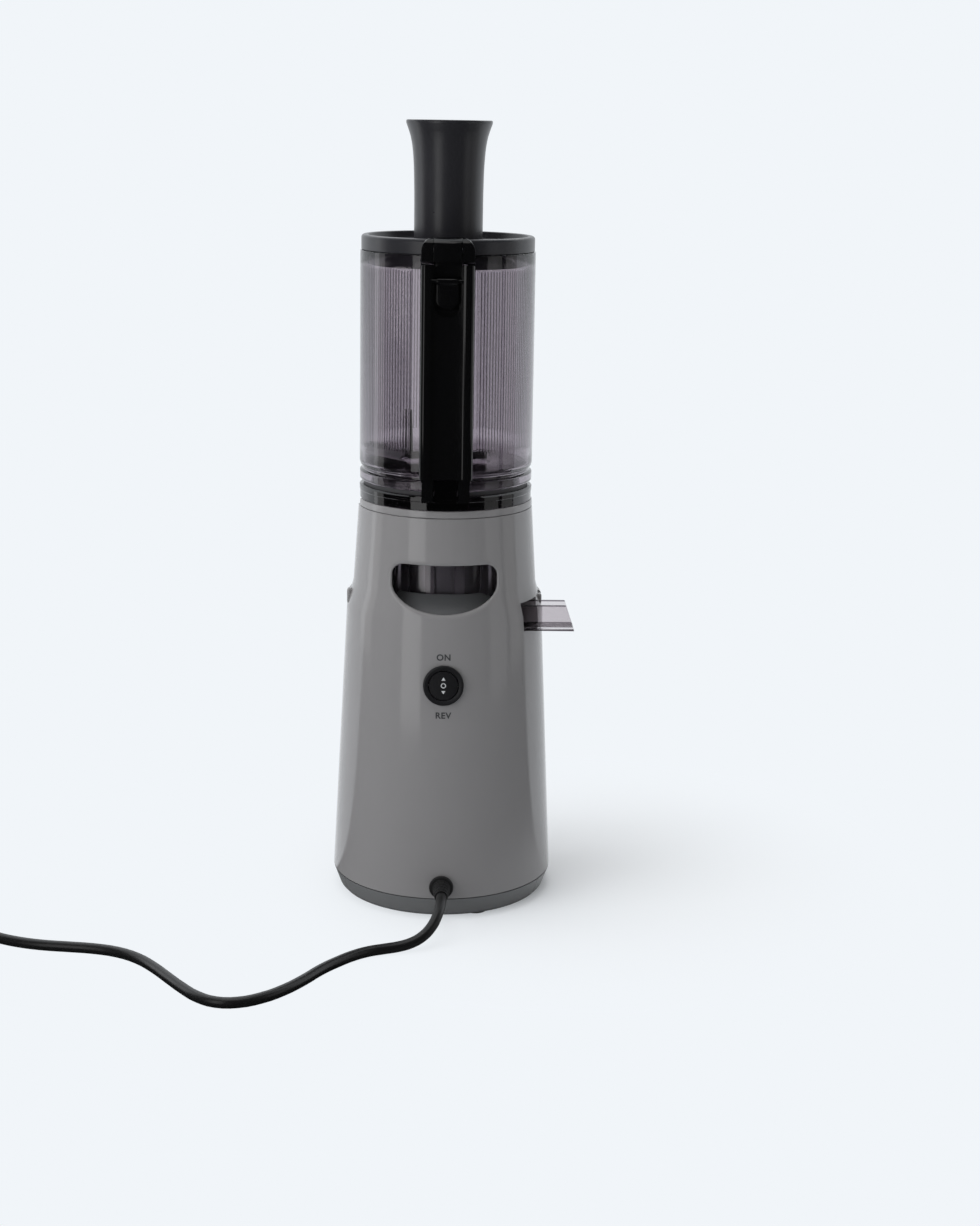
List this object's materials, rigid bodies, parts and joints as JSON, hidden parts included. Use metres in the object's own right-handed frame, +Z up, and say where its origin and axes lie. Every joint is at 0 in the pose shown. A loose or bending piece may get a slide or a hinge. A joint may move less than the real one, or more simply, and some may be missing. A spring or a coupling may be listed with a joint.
{
  "type": "cold press juicer",
  "caption": "Tapered grey tower juicer with a drop-in smoky bowl, a turning auger, a tall fluted smoky hopper, a hinged lid, a round pusher, a side pulp chute and a rear rocker switch.",
  "frame": {"origin": "on the table under the axis of the bowl, auger and motor", "axes": "+Z up along the axis of the bowl and auger; -Y towards the juice spout at the front; +Y towards the switch, grip slot and power lead at the rear; the pulp chute leaves towards -X"},
  "size_m": [0.5023, 0.3196, 0.522],
  "materials": {
    "shell": "satin grey moulded plastic",
    "seat": "satin darker grey moulded plastic",
    "cover": "satin dark grey plastic",
    "black": "glossy black plastic",
    "black_matte": "fine-grained black plastic",
    "lid": "satin charcoal plastic",
    "rubber": "black rubber",
    "cord": "black PVC lead",
    "smoke": "smoky clear plastic",
    "steel": "bare steel",
    "stack": "laminated electrical steel",
    "copper": "enamelled copper wire",
    "casting": "cast alloy",
    "nylon": "natural nylon",
    "board": "green circuit board",
    "silicone": "grey silicone",
    "auger": "hard black resin"
  },
  "bodies": {
    "tower": {"tower_shell": "shell", "rim_ring": "shell", "bottom_cover": "cover", "feet": "rubber", "base_screws": "steel", "deck_screws": "steel", "bowl_seat": "seat", "shaft_seal": "rubber", "motor_can": "steel", "motor_stator": "stack", "motor_coils": "copper", "motor_bearings": "steel", "gearbox_housing": "casting", "gearbox_cover": "casting", "gear_axles": "steel", "shaft_bearings": "steel", "circuit_board": "board", "switch_bezel": "black_matte", "switch_body": "black_matte", "switch_pin": "steel", "strain_relief": "rubber", "cord_clamp": "black_matte", "power_cord": "cord", "cord_coil": "cord", "cord_tie": "rubber", "power_plug": "cord", "plug_pins": "steel"},
    "rotor": {"motor_rotor": "stack", "cooling_fan": "black_matte"},
    "first_gear": {"first_gear": "nylon"},
    "second_gear": {"second_gear": "nylon"},
    "output": {"output_gear": "nylon", "output_shaft": "steel"},
    "rocker": {"switch_rocker": "black_matte"},
    "chute": {"pulp_chute": "smoke"},
    "bowl": {"juicing_bowl": "smoke", "rim_gasket": "silicone", "auger_seal": "silicone", "strainer_frame": "auger", "strainer_mesh": "steel", "juice_cap_pin": "steel"},
    "auger": {"auger": "auger", "feed_rotor": "auger"},
    "cap": {"juice_cap": "black", "juice_cap_seal": "silicone"},
    "hopper": {"hopper": "smoke", "feed_ramp": "auger", "hopper_spine": "black", "hinge_pin": "steel", "latch_pin": "black"},
    "button": {"release_button": "black"},
    "lid": {"lid": "lid"},
    "pusher": {"pusher": "lid"}
  },
  "joints": [
    {"name": "rotor_spin", "type": "hinge", "parent": "tower", "child": "rotor", "pos_m": [0, 0, 0.064], "axis": [0, 0, 1], "continuous": true},
    {"name": "first_gear_spin", "type": "hinge", "parent": "tower", "child": "first_gear", "pos_m": [-0.01549, -0.02212, 0.12], "axis": [0, 0, 1], "continuous": true},
    {"name": "second_gear_spin", "type": "hinge", "parent": "tower", "child": "second_gear", "pos_m": [0.00442, -0.03724, 0.13], "axis": [0, 0, 1], "continuous": true},
    {"name": "output_spin", "type": "hinge", "parent": "tower", "child": "output", "pos_m": [0, 0, 0.164], "axis": [0, 0, 1], "continuous": true},
    {"name": "power_rocker", "type": "hinge", "parent": "tower", "child": "rocker", "pos_m": [0, 0.06488, 0.16073], "axis": [1, 0, 0], "range_deg": [-9, 9]},
    {"name": "chute_pull_off", "type": "slide", "parent": "tower", "child": "chute", "axis": [-1, 0, 0], "range_m": [0, 0.045]},
    {"name": "bowl_lift_off", "type": "slide", "parent": "tower", "child": "bowl", "axis": [0, 0, 1], "range_m": [0, 0.13]},
    {"name": "auger_spin", "type": "hinge", "parent": "bowl", "child": "auger", "pos_m": [0, 0, 0.244], "axis": [0, 0, 1], "continuous": true},
    {"name": "juice_cap_swing", "type": "hinge", "parent": "bowl", "child": "cap", "pos_m": [0, -0.0935, 0.244], "axis": [-1, 0, 0], "range_deg": [0, 90]},
    {"name": "hopper_lift_off", "type": "slide", "parent": "bowl", "child": "hopper", "axis": [0, 0, 1], "range_m": [0, 0.12]},
    {"name": "release_button_press", "type": "hinge", "parent": "hopper", "child": "button", "pos_m": [0, 0.064, 0.4236], "axis": [-1, 0, 0], "range_deg": [0, 8], "stiffness_Nm_per_rad": 0.06, "springref_deg": -5.73},
    {"name": "lid_swing", "type": "hinge", "parent": "hopper", "child": "lid", "pos_m": [0, 0.061, 0.4425], "axis": [-1, 0, 0], "range_deg": [0, 95]},
    {"name": "pusher_slide", "type": "slide", "parent": "lid", "child": "pusher", "axis": [0, 0, 1], "range_m": [-0.045, 0.095]}
  ],
  "couplings": [
    {"joint": "first_gear_spin", "follows": "rotor_spin", "ratio": -0.2},
    {"joint": "second_gear_spin", "follows": "rotor_spin", "ratio": 0.05},
    {"joint": "output_spin", "follows": "rotor_spin", "ratio": -0.0125},
    {"joint": "auger_spin", "follows": "rotor_spin", "ratio": -0.0125}
  ]
}
